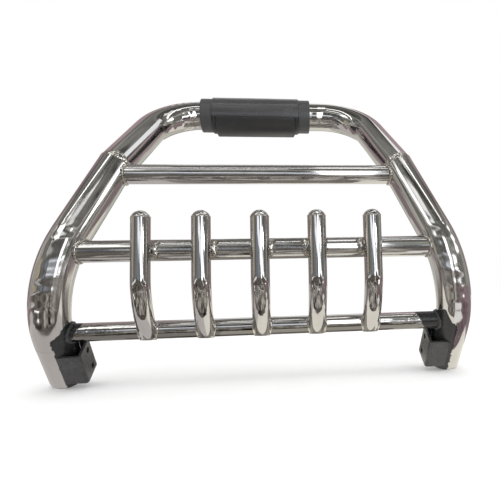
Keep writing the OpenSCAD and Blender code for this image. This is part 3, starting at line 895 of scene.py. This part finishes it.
def card(name, centre, size, facing, dark, light, strength=1.0, blotch=0.35, tilt=0.0, stretch=(1, 1, 1)):
    """Glowing sheet with clouds of a size in metres; stretch draws them out along an axis."""
    material, tree = start_material("studio_card_" + name)
    place = add(tree, "ShaderNodeTexCoord").outputs["Object"]
    drawn = add(tree, "ShaderNodeMapping", {"Vector": place, "Scale": [1 / (blotch * s) for s in stretch]})
    cloud = add(tree, "ShaderNodeTexNoise", {"Vector": drawn.outputs[0], "Scale": 1.0, "Detail": 3.0})
    spread = add(tree, "ShaderNodeMapRange", {"Value": cloud.outputs[0], "From Min": 0.35, "From Max": 0.65})
    tone = add(tree, "ShaderNodeMix", {"Factor": spread.outputs[0], "A": linear(dark), "B": linear(light)},
               data_type="RGBA")
    glow = add(tree, "ShaderNodeEmission", {"Color": tone.outputs["Result"], "Strength": strength})
    add(tree, "ShaderNodeOutputMaterial", {"Surface": glow.outputs[0]})
    obj = stage_plane("card_" + name, centre, size, facing, material, tilt)
    obj.visible_camera = obj.visible_diffuse = obj.visible_shadow = obj.visible_transmission = False


print("clouds are drawn out", max(TALL), "times")

# %% [markdown]
# The grey walls and the ceiling make the dark bands on the tubes. The floor cards give the teeth
# and the legs' lower ends their warm greys and mauves.

# %% Walls, ceiling and floor
card("front_wall", (0, -2.6, 0.45), (5.2, 0.9), "Y", "#4a4f55", "#a9afb6", blotch=0.16, stretch=TALL)
card("front_wall_top", (-0.9, -2.6, 1.5), (3.4, 1.2), "Y", "#343433", "#8c8c88", blotch=0.16, stretch=TALL)
card("front_wall_right", (1.7, -2.6, 1.5), (1.8, 1.2), "Y", "#5f625f", "#b0b4ac", blotch=0.3, stretch=TALL)
card("left_wall", (-2.6, -1.3, 1.05), (2.6, 2.1), "X", "#3a3a38", "#b6b4ae", blotch=0.2, stretch=TALL)
card("right_wall", (2.6, -1.3, 1.05), (2.6, 2.1), "X", "#3a3a38", "#b6b4ae", blotch=0.2, stretch=TALL)
card("ceiling", (0, -0.9, 2.3), (5.2, 3.4), "Z", "#2c2c2b", "#959591", blotch=0.2, stretch=WIDE)
card("front_floor", (0, -1.42, 0.004), (3.4, 2.37), "Z", "#25211f", "#8f8983", blotch=0.22)
card("near_floor", (0, -0.5, 0.008), (0.9, 0.46), "Z", "#0c0b0a", "#d8d2ca", blotch=0.07, stretch=DEEP)
card("under_floor", (0, 0.18, 0.01), (0.62, 0.58), "Z", "#5c5854", "#b4afa8", blotch=0.12)
card("pale_floor_left", (-1.35, 1.2, 0.002), (2.5, 3.2), "Z", "#cbc7c5", "#d7d3d1", 1.05)
card("pale_floor_right", (1.25, 1.2, 0.002), (2.7, 3.2), "Z", "#d2d0c8", "#dedbd2", 1.5)
card("right_floor", (1.55, 0.1, 0.006), (1.9, 1.7), "Z", "#94838a", "#a49396")
card("left_floor", (-1.6, 0.25, 0.006), (1.2, 1.0), "Z", "#94838a", "#a49396")
card("right_knee_floor", (0.46, -0.27, 0.014), (0.14, 0.11), "Z", "#e8e8e2", WHITE, 1.1)
card("right_floor_near", (0.6, -0.3, 0.008), (0.34, 0.36), "Z", "#6f5f63", "#94838a", blotch=0.1)

# %% [markdown]
# The room behind is mauve and gives the tubes their coloured rims. The sides next to it are
# streaked in grey.

# %% Sides and rear
for side, word in SIDES:
    card(word + "_side", (side * 2.57, 0.3, 1.2), (1.4, 2.4), "X", "#77756f", "#e4e3dc", blotch=0.12,
         stretch=TALL)
    card(word + "_rear_wall", (side * 2.55, 1.8, 1.2), (2.0, 2.4), "X", "#8b7a7f", "#a08f92")
    card(word + "_rear_wall_top", (side * 2.55, 1.3, 2.9), (3.0, 1.0), "X", "#ab989d", "#c2afb2")
    card(word + "_rear_corner", (side * 1.75, 2.8, 2.2), (1.6, 2.4), "Y", "#ab989d", "#c2afb2")
    card(word + "_rear_ceiling", (side * 1.75, 1.8, 3.4), (1.6, 2.0), "Z", "#ab989d", "#c2afb2")
card("middle_screen", (0, 1.6, 1.2), (2.4, 2.4), "X", "#cdcdc3", "#e2e2d8")
card("rear_wall", (0, 2.8, 0.5), (5.2, 0.9), "Y", "#7c7c79", "#a3a39f")
card("beige_panel", (-2.3, -0.8, 0.62), (0.7, 0.8), "X", "#a79d84", "#cdc4ad", blotch=0.2)

# %% [markdown]
# Windows, panels and small lamps are the bright marks: streaks along the bars and the bow, the
# ladder on the knees, and glints near the floor.

# %% Windows, panels and glints
card("front_window", (-0.1, -2.5, 0.53), (2.1, 0.22), "Y", "#dfe8f8", WHITE, 1.7, tilt=-10)
card("side_window", (2.05, -2.5, 0.19), (1.9, 0.34), "Y", "#eef3fb", WHITE, 2.2, tilt=-10)
card("knee_lamp", (1.25, -1.7, 0.5), (0.7, 0.1), "Y", WHITE, WHITE, 8.0)
card("floor_glint", (-0.1, -0.62, 0.02), (0.8, 0.02), "Z", WHITE, WHITE, 1.1, tilt=14)
card("white_door", (0.44, -1.65, 0.38), (0.32, 0.66), "Y", "#eef3fb", WHITE, 3.5)
card("white_lintel", (0.46, -1.65, 1.06), (0.4, 0.7), "Y", "#eef3fb", WHITE, 3.0)
card("bright_floor", (0.37, -1.2, 0.012), (0.2, 0.8), "Z", "#c6c6c2", "#f0f0ec", 0.9)
card("ceiling_panel", (-0.75, -0.3, 2.25), (0.3, 1.7), "Z", "#d8d8d4", "#f4f4f0", 0.45)
card("right_leg_panel", (-1.4, -1.6, 2.02), (0.9, 1.1), "Z", "#f2f4f0", WHITE, 2.4)
card("overhead_panel", (-0.45, -1.55, 2.22), (1.1, 0.4), "Z", "#e4e8ec", WHITE, 1.5)
card("door_ceiling", (0.47, -0.62, 2.24), (0.4, 0.75), "Z", "#e6ebf2", WHITE, 1.3)
card("shoulder_panel", (1.05, 0.4, 2.28), (0.8, 0.8), "Z", "#dfe6f0", WHITE, 1.4)
card("overhead_rear_strip", (0.1, -0.72, 2.2), (3.8, 0.12), "Z", WHITE, WHITE, 3.4)
card("right_window", (2.3, -0.7, 1.5), (0.8, 0.7), "X", "#f2f5ff", WHITE, 3.5)
card("right_glint", (0.95, -0.62, 0.03), (0.25, 0.14), "Z", WHITE, WHITE, 3.0)
card("left_glint", (-0.66, -0.34, 0.03), (0.22, 0.05), "Z", WHITE, WHITE, 2.0)

# %% [markdown]
# The black sleeve and the paint aren't mirrors, so cards hardly light them. Two soft lamps, one
# overhead and one from the right, shape them and cast the shadow on the floor.

# %% Soft lamps
AIM = Vector((0, 0, 0.3))
for name, at, size, power in (("overhead_lamp", (0, -1.4, 2.2), 2.0, 16),
                              ("window_lamp", (2.2, -0.8, 1.6), 0.8, 8)):
    lamp = bpy.data.lights.new(name, "AREA")
    lamp.size = size
    lamp.energy = power
    holder = bpy.data.objects.new(name, lamp)
    holder.location = at
    holder.rotation_euler = (AIM - Vector(at)).to_track_quat("-Z", "Y").to_euler()
    holder.visible_camera = holder.visible_glossy = False
    scene.collection.objects.link(holder)
    print(name, power, "W")

# %% [markdown]
# ## View transform
# Standard view keeps every colour as it is written.

scene.view_settings.view_transform = "Standard"
